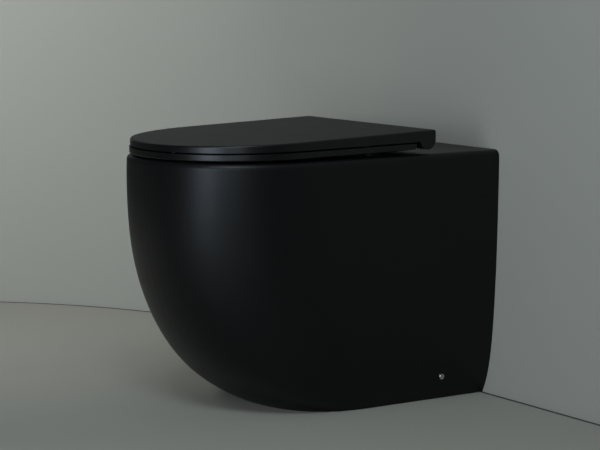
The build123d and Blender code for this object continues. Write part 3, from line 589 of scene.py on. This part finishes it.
def turned(name, origin, axis, profile, around=48, relief=None):
    """Lathe form round an axis, from (distance along, radius) pairs; relief changes the radius."""
    axis = Vector(axis).normalized()
    first = axis.orthogonal().normalized()
    second = axis.cross(first)
    rings = []
    for along, radius in profile:
        ring = []
        for step in range(around):
            angle = 2.0 * math.pi * step / around
            reach = radius + (relief(along, angle) if relief and radius > 0.0 else 0.0)
            spoke = first * math.cos(angle) + second * math.sin(angle)
            ring.append(Vector(origin) + axis * along + spoke * reach)
        rings.append(ring)
    return skin(name, rings)


def arc(centre, radius, start, end, steps):
    """Points of an arc in a profile, angles in degrees from the radius direction."""
    points = []
    for step in range(steps + 1):
        angle = math.radians(start + (end - start) * step / steps)
        points.append((centre[0] + radius * math.sin(angle), centre[1] + radius * math.cos(angle)))
    return points


def thread(start, end, pitch, depth):
    """Relief of a screw thread between two distances, run out at both ends."""

    def relief(along, angle):
        run = min(along - start, end - along) / pitch
        if run <= 0.0:
            return 0.0
        phase = (along / pitch - angle / (2.0 * math.pi)) % 1.0
        return -depth * min(1.0, run) * abs(2.0 * phase - 1.0)

    return relief


def evenly(start, end, step):
    """Distances from start to end, about a step apart."""
    count = max(1, round((end - start) / step))
    return [start + (end - start) * index / count for index in range(count + 1)]


def middle(node):
    """Middle of a CAD node's box."""
    low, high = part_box(node)
    return (low + high) / 2


class TOILET_OT_lid(bpy.types.Operator):
    """Makes the lid with soft lower edges and rounded hinge knuckles"""

    bl_idname = "toilet.lid"
    bl_label = "Make the lid"

    def execute(self, context):
        edges = context.scene.toilet_edges
        knuckle = LID_HIGH.y - HINGE_Y
        reach = 0.0002
        lid = clean_copy("lid", "lid_moulding")

        def at_knuckle_end(place):
            across = math.hypot(place.y - HINGE_Y, place.z - HINGE_Z)
            round_side = place.z < HINGE_Z + reach and abs(across - knuckle) < reach
            return abs(place.x) > LID_HIGH.x - reach and round_side

        round_edges(lid, at_knuckle_end, edges.knuckle_edge)
        soften(lid, edges.lid_edge)
        smooth(lid)
        show(lid, "lid")
        return {"FINISHED"}


class TOILET_OT_seat(bpy.types.Operator):
    """Makes the seat ring, a little proud of the lid, with soft edges"""

    bl_idname = "toilet.seat"
    bl_label = "Make the seat"

    def execute(self, context):
        edges = context.scene.toilet_edges
        seat = clean_copy("seat", "seat_moulding")
        push_out(seat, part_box("seat"), edges.seat_shoulder, edges.seat_proud, edges.seat_relief)
        soften(seat, edges.seat_edge)
        smooth(seat)
        show(seat, "seat")
        return {"FINISHED"}


def push_out(piece, box, shoulder, amount, relief):
    """Moves the outer side of a D shaped ring outwards and dips its upper edge."""
    low, high = box
    fade_start, fade_end = 0.88, 0.97
    upper = [vertex.normal.z > 0.3 for vertex in piece.data.vertices]
    for vertex, is_upper in zip(piece.data.vertices, upper):
        place = vertex.co
        ahead = min(0.0, place.y - shoulder)
        spread = math.hypot(place.x / high.x, ahead / (shoulder - low.y))
        part = min(1.0, max(0.0, (spread - fade_start) / (fade_end - fade_start)))
        if part > 0.0:
            move = Vector((place.x, ahead, 0.0)).normalized() * amount
            move.z = -relief if is_upper else 0.0
            vertex.co = place + move * part * part * (3.0 - 2.0 * part)


class TOILET_OT_hinge_blocks(bpy.types.Operator):
    """Makes the cast hinge blocks and the sheet brackets with soft edges"""

    bl_idname = "toilet.hinge_blocks"
    bl_label = "Make the hinge blocks and brackets"

    def execute(self, context):
        edges = context.scene.toilet_edges
        for side in SIDES:
            block = clean_copy(f"hinge_block_{side}", f"hinge_casting_{side}")
            soften(block, edges.block_edge)
            smooth(block)
            show(block, f"hinge_block_{side}")
            bracket = clean_copy(f"floor_bracket_{side}", f"sheet_bracket_{side}")
            soften(bracket, edges.bracket_edge, segments=2)
            smooth(bracket)
            show(bracket, f"floor_bracket_{side}")
        return {"FINISHED"}


class TOILET_OT_side_caps(bpy.types.Operator):
    """Turns the dished side caps and the threaded side screws"""

    bl_idname = "toilet.side_caps"
    bl_label = "Make the side caps and screws"

    def execute(self, context):
        kit = context.scene.toilet_fasteners
        for side, sign in SIDES.items():
            make_cap(side, sign, kit)
            make_screw(side, sign, kit)
        return {"FINISHED"}


def start_of(node, sign):
    """Point on the node's axis along X at its inner end, its length and its radius."""
    low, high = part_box(node)
    centre = (low + high) / 2
    inner = low.x if sign > 0.0 else high.x
    return Vector((inner, centre.y, centre.z)), high.x - low.x, (high.z - low.z) / 2


def make_cap(side, sign, kit):
    """Domed cap with a rolled rim, a shallow dish and a hollow for the screw head."""
    origin, deep, radius = start_of(f"side_cap_{side}", sign)
    roll = kit.cap_round
    wall = 0.001
    hollow = deep * 0.37
    profile = [(hollow, 0.0), (hollow, radius - wall), (0.0, radius - wall), (0.0, radius)]
    profile += arc((deep - roll, radius - roll), roll, 0.0, 90.0, 8)
    dish = radius - roll
    for step in range(1, 9):
        share = 1.0 - step / 8.0
        profile.append((deep - kit.cap_dish * (1.0 - share * share), dish * share))
    cap = turned(f"chrome_cap_{side}", origin, (sign, 0.0, 0.0), profile, around=56)
    smooth(cap, 50.0)
    show(cap, f"side_cap_{side}")


def make_screw(side, sign, kit):
    """Side screw: pointed tip, threaded shank and a pan head with a driver socket."""
    origin, deep, head = start_of(f"side_screw_{side}", sign)
    shank, pitch = kit.screw_radius, kit.screw_pitch
    neck = deep - kit.screw_head
    socket = head * 0.5
    profile = [(0.0, 0.0), (0.0, shank * 0.6)]
    profile += [(along, shank) for along in evenly(shank * 0.5, neck - 0.001, pitch / 6.0)]
    profile += [(neck, shank), (neck, head)]
    profile += arc((deep - head * 0.5, head * 0.5), head * 0.5, 0.0, 90.0, 6)
    profile += [(deep, socket), (deep - socket, socket), (deep - socket, 0.0)]
    relief = thread(shank * 0.5, neck - 0.001, pitch, shank * 0.16)
    screw = turned(f"steel_screw_{side}", origin, (sign, 0.0, 0.0), profile, 32, relief)
    smooth(screw, 50.0)
    show(screw, f"side_screw_{side}")


class TOILET_OT_hinge_studs(bpy.types.Operator):
    """Turns the grooved and threaded hinge studs, their wing nuts and the release buttons"""

    bl_idname = "toilet.hinge_studs"
    bl_label = "Make the studs, wing nuts and buttons"

    def execute(self, context):
        kit = context.scene.toilet_fasteners
        for side in SIDES:
            make_stud(side, kit)
            make_wing_nut(side, kit)
            make_button(side, kit)
        return {"FINISHED"}


def make_stud(side, kit):
    """Threaded tail, plain neck and a post with its clip groove."""
    low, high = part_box(f"hinge_stud_{side}")
    origin = Vector(((low.x + high.x) / 2, (low.y + high.y) / 2, low.z))
    deep = high.z - low.z
    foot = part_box(f"hinge_base_disc_{side}")[1].z - low.z
    groove = middle(f"release_clip_{side}").z - low.z
    half = kit.groove_height / 2
    tail, post, pitch = kit.stud_radius, kit.post_radius, kit.stud_pitch
    edge = 0.0006
    last = PAN_HIGH.z - low.z
    profile = [(0.0, 0.0), (0.0, tail - edge), (edge, tail)]
    profile += [(along, tail) for along in evenly(edge * 2, last, pitch / 6.0)]
    profile += [(foot, tail), (foot, post), (groove - half, post), (groove - half, kit.groove_radius)]
    profile += [(groove + half, kit.groove_radius), (groove + half, post)]
    profile += arc((deep - edge, post - edge), edge, 0.0, 90.0, 4) + [(deep, 0.0)]
    relief = thread(edge * 2, last, pitch, tail * 0.15)
    stud = turned(f"turned_stud_{side}", origin, (0.0, 0.0, 1.0), profile, 36, relief)
    smooth(stud, 50.0)
    show(stud, f"hinge_stud_{side}")


def make_wing_nut(side, kit):
    """Ribbed conical hub with two rounded finger wings and a bore for the stud."""
    low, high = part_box(f"wing_nut_{side}")
    centre = (low + high) / 2
    tall = high.z - low.z
    hub = (high.x - low.x) / 2
    ribs = 22

    def ribbed(along, angle):
        inside = 0.0 < along < tall
        return 0.0003 * math.cos(ribs * angle) - 0.0003 if inside else -0.0003

    taper = 0.0015
    profile = [(0.0, 0.0), (0.0, hub - taper - 0.0006)]
    for along in evenly(0.0006, tall - 0.0006, 0.0018):
        profile.append((along, hub - taper * (1.0 - along / tall)))
    profile += [(tall, hub - 0.0006), (tall, 0.0)]
    origin = (centre.x, centre.y, low.z)
    nut = turned(f"winged_nut_{side}", origin, (0.0, 0.0, 1.0), profile, ribs * 6, ribbed)
    wing_tall = tall - kit.wing_step
    select_only()
    bpy.ops.mesh.primitive_cube_add(size=1.0, location=(centre.x, centre.y, low.z + wing_tall / 2))
    wings = bpy.context.object
    wings.scale = (kit.wing_thickness, high.y - low.y, wing_tall)
    bpy.ops.object.transform_apply(location=True, rotation=True, scale=True)
    bevel_tips(wings, kit.wing_corner)
    soften(wings, 0.0008, segments=3, least=60.0)
    combine(nut, wings, "UNION")
    bpy.ops.mesh.primitive_cylinder_add(
        vertices=36, radius=kit.stud_radius + 0.0001, depth=tall * 2.0, location=centre
    )
    bore = bpy.context.object
    bpy.ops.object.transform_apply(location=True, rotation=True, scale=True)
    combine(nut, bore, "DIFFERENCE")
    smooth(nut, 40.0)
    show(nut, f"wing_nut_{side}")


def bevel_tips(piece, radius):
    """Rounds the edges that run along X."""
    select_only(piece)
    bpy.ops.object.mode_set(mode="EDIT")
    bpy.ops.mesh.select_mode(type="EDGE")
    bpy.ops.mesh.select_all(action="DESELECT")
    bpy.ops.object.mode_set(mode="OBJECT")
    places = [vertex.co for vertex in piece.data.vertices]
    for edge in piece.data.edges:
        first, second = (places[end] for end in edge.vertices)
        edge.select = abs(first.x - second.x) > 0.0001
    bpy.ops.object.mode_set(mode="EDIT")
    bpy.ops.mesh.bevel(offset=radius, segments=6, affect="EDGES")
    bpy.ops.object.mode_set(mode="OBJECT")


def combine(piece, other, operation):
    """Boolean with a second piece, which is used up."""
    apply_modifier(piece, "BOOLEAN", operation=operation, object=other, solver="EXACT")
    bpy.data.objects.remove(other, do_unlink=True)


def make_button(side, kit):
    """Release button: a captive flange and a rounded, slightly dished push face."""
    low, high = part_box(f"release_button_{side}")
    centre = (low + high) / 2
    deep = high.y - low.y
    flange = (high.z - low.z) / 2
    stem = flange - 0.0007
    collar = 0.0012
    edge = 0.0006
    profile = [(0.0, 0.0), (0.0, flange), (collar, flange), (collar, stem)]
    profile += arc((deep - edge, stem - edge), edge, 0.0, 90.0, 4)
    for step in range(1, 7):
        share = 1.0 - step / 6.0
        profile.append((deep - kit.button_dish * (1.0 - share * share), (stem - edge) * share))
    origin = (centre.x, high.y, centre.z)
    button = turned(f"push_button_{side}", origin, (0.0, -1.0, 0.0), profile, 36)
    smooth(button, 50.0)
    show(button, f"release_button_{side}")


class TOILET_OT_rubber(bpy.types.Operator):
    """Makes the rubber pads of seat and lid and the inlet seal"""

    bl_idname = "toilet.rubber"
    bl_label = "Make the pads and the inlet seal"

    def execute(self, context):
        kit = context.scene.toilet_fasteners
        for node in BODY_OF:
            if "_buffer_" in node:
                make_pad(node, kit)
        make_seal(kit)
        return {"FINISHED"}


def make_pad(node, kit):
    """Round rubber pad with a soft lower edge and a shallow ring under it."""
    low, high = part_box(node)
    origin = Vector(((low.x + high.x) / 2, (low.y + high.y) / 2, low.z))
    radius = (high.x - low.x) / 2
    deep = high.z - low.z
    roll = min(kit.pad_round, deep * 0.4)
    ring = radius * 0.55
    profile = [(0.0, 0.0), (0.0, ring - roll)]
    profile += [(roll * 0.5, ring - roll * 0.4), (roll * 0.5, ring + roll * 0.4), (0.0, ring + roll)]
    profile += arc((roll, radius - roll), roll, -90.0, 0.0, 6)
    profile += [(deep, radius), (deep, 0.0)]
    pad = turned(f"rubber_{node}", origin, (0.0, 0.0, 1.0), profile, 40)
    smooth(pad, 50.0)
    show(pad, node)


def make_seal(kit):
    """Flanged rubber sleeve with three lips that grip the flush pipe."""
    low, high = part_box("inlet_seal")
    centre = (low + high) / 2
    deep = high.y - low.y
    flange = (high.z - low.z) / 2
    flange_deep = 0.004
    sleeve = flange - 0.0041
    bore = flange - 0.0090
    roll = 0.0012
    profile = arc((roll, flange - roll), roll, -90.0, 0.0, 5)
    profile += arc((flange_deep - roll, flange - roll), roll, 0.0, 90.0, 5)
    profile += [(flange_deep, sleeve), (deep, sleeve), (deep, bore + 0.001)]
    lips = 3
    pitch = (deep - 0.004) / lips
    for lip in range(lips):
        back = deep - 0.002 - lip * pitch
        profile += [(back, bore), (back - pitch * 0.45, bore - kit.lip_depth)]
        profile += [(back - pitch * 0.6, bore - kit.lip_depth), (back - pitch * 0.7, bore)]
    profile += [(0.001, bore), (0.0, bore + 0.001), profile[0]]
    seal = turned("lipped_seal", (centre.x, high.y, centre.z), (0.0, -1.0, 0.0), profile, 72)
    smooth(seal, 40.0)
    show(seal, "inlet_seal")


class TOILET_OT_studio(bpy.types.Operator):
    """Makes the floor, the wall, the lights and the camera"""

    bl_idname = "toilet.studio"
    bl_label = "Make the studio"

    def execute(self, context):
        studio = context.scene.toilet_studio
        make_floor(tuple(studio.floor))
        make_wall(studio)
        cool, warm = tuple(studio.daylight), tuple(studio.lamplight)
        pan = (0.0, -0.1, 0.4)
        make_light("front_light", (0.95, -2.25, 0.64), pan, (0.85, 1.24), studio.front_power, cool)
        make_light("upper_light", (0.9, -0.9, 1.75), pan, (0.8, 0.5), studio.upper_power, cool)
        make_light("side_light", (1.85, -1.55, 0.75), pan, (0.55, 1.3), studio.side_power, cool)
        make_light("top_light", (0.3, 0.0, 2.4), pan, (1.2, 0.5), studio.top_power, warm)
        wall = (-1.5, -0.4, 0.64)
        back = (0.0, 0.25, 0.2)
        make_light("back_light", (-0.5, 2.0, 0.9), back, (1.4, 1.0), studio.back_power, cool)
        make_light("wall_wash", (-0.6, -0.9, 1.0), wall, (0.4, 0.4), studio.wash_power, warm)
        make_world(studio.ambient)
        make_camera(studio)
        return {"FINISHED"}


def make_floor(tone):
    """Plain floor under everything."""
    select_only()
    bpy.ops.mesh.primitive_plane_add(size=12.0, location=(0.0, WALL_Y - 5.0, 0.0))
    floor = bpy.context.object
    floor.name = "studio_floor"
    bpy.ops.object.transform_apply(location=True, rotation=True, scale=True)
    floor.data.materials.append(stage_finish("studio_floor", tone, False))


def wall_line(straight, sweep, setback):
    """Foot of the wall from left to right, as (x, y), a setback in front of the wall."""
    turns = 24
    widest = math.radians(48.0)
    line = [(3.0, WALL_Y - setback), (-straight, WALL_Y - setback)]
    for step in range(1, turns + 1):
        angle = widest * step / turns
        radius = sweep - setback
        line.append(
            (-straight - radius * math.sin(angle), WALL_Y - sweep + radius * math.cos(angle))
        )
    line.reverse()
    return line


def make_strip(name, lines, finish):
    """Stage piece between two lines of points."""
    select_only()
    bpy.ops.mesh.primitive_grid_add(x_subdivisions=len(lines[0]) - 1, y_subdivisions=1, size=1.0)
    strip = bpy.context.object
    strip.name = name
    for vertex, place in zip(strip.data.vertices, lines[0] + lines[1]):
        vertex.co = place
    bpy.ops.object.shade_smooth()
    strip.data.materials.append(finish)


def make_wall(studio):
    """Plain wall that the pan stands against, swept forward at its left end, and its joint."""
    straight, sweep = studio.wall_straight, studio.wall_sweep
    line = [(x, y + WALL_CLEARANCE) for x, y in wall_line(straight, sweep, 0.0)]
    right, left = line[-1:], line[:-1]
    aside, above = studio.opening_half_width, studio.opening_height
    paint = stage_finish("studio_wall", tuple(studio.wall), True)
    for name, stretch, low, high in (
        ("studio_wall", line, above, 3.2),
        ("studio_wall_left", [*left, (-aside, line[-1][1])], 0.0, above),
        ("studio_wall_right", [(aside, line[-1][1]), *right], 0.0, above),
    ):
        edges = [[(x, y, height) for x, y in stretch] for height in (low, high)]
        make_strip(name, edges, paint)
    lines = [wall_line(straight, sweep, setback) for setback in (studio.joint_width, 0.0)]
    edges = [[(x, y, 0.0003) for x, y in line] for line in lines]
    make_strip("studio_joint", edges, stage_finish("studio_joint", tuple(studio.joint), False))


def make_light(name, place, target, size, watts, tint):
    """Large soft rectangular lamp that points at a target."""
    bpy.ops.object.light_add(type="AREA", location=place)
    lamp = bpy.context.object
    lamp.name = name
    lamp.data.shape = "RECTANGLE"
    lamp.data.size, lamp.data.size_y = size
    lamp.data.energy = watts
    lamp.data.color = tint
    lamp.rotation_euler = (Vector(target) - Vector(place)).to_track_quat("-Z", "Y").to_euler()


def make_world(strength):
    """Even light from all round."""
    world = bpy.data.worlds.new("studio_world")
    bpy.context.scene.world = world
    world.use_nodes = True
    background = world.node_tree.nodes["Background"]
    background.inputs["Color"].default_value = (0.93, 0.97, 1.0, 1.0)
    background.inputs["Strength"].default_value = strength


def make_camera(studio):
    """Camera at the photograph's viewpoint."""
    bpy.ops.object.camera_add(
        location=studio.camera_place,
        rotation=(math.radians(90.0) - studio.camera_tilt, 0.0, studio.camera_turn),
    )
    camera = bpy.context.object
    camera.data.lens = studio.focal_length
    camera.data.clip_start = 0.05
    bpy.context.scene.camera = camera
    bpy.context.scene.view_settings.view_transform = "Standard"


class TOILET_PT_panel(bpy.types.Panel):
    """Lists the steps that dress the toilet"""

    bl_idname = "TOILET_PT_panel"
    bl_label = "Back to Wall Toilet"
    bl_space_type = "VIEW_3D"
    bl_region_type = "UI"
    bl_category = "Toilet"

    def draw(self, context):
        for operator in OPERATORS:
            self.layout.operator(operator.bl_idname)


SETTINGS = {
    "toilet_finishes": FinishSettings,
    "toilet_edges": EdgeSettings,
    "toilet_fasteners": FastenerSettings,
    "toilet_studio": StudioSettings,
}
OPERATORS = (
    TOILET_OT_finishes,
    TOILET_OT_lid,
    TOILET_OT_seat,
    TOILET_OT_hinge_blocks,
    TOILET_OT_side_caps,
    TOILET_OT_hinge_studs,
    TOILET_OT_rubber,
    TOILET_OT_studio,
)
CLASSES = (*SETTINGS.values(), *OPERATORS, TOILET_PT_panel)


def register():
    for item in CLASSES:
        bpy.utils.register_class(item)
    for name, group in SETTINGS.items():
        setattr(bpy.types.Scene, name, bpy.props.PointerProperty(type=group))


def unregister():
    for name in SETTINGS:
        delattr(bpy.types.Scene, name)
    for item in reversed(CLASSES):
        bpy.utils.unregister_class(item)


def main():
    register()
    bpy.ops.toilet.finishes()
    bpy.ops.toilet.lid()
    bpy.ops.toilet.seat()
    bpy.ops.toilet.hinge_blocks()
    bpy.ops.toilet.side_caps()
    bpy.ops.toilet.hinge_studs()
    bpy.ops.toilet.rubber()
    bpy.ops.toilet.studio()


if __name__ == "__main__":
    main()
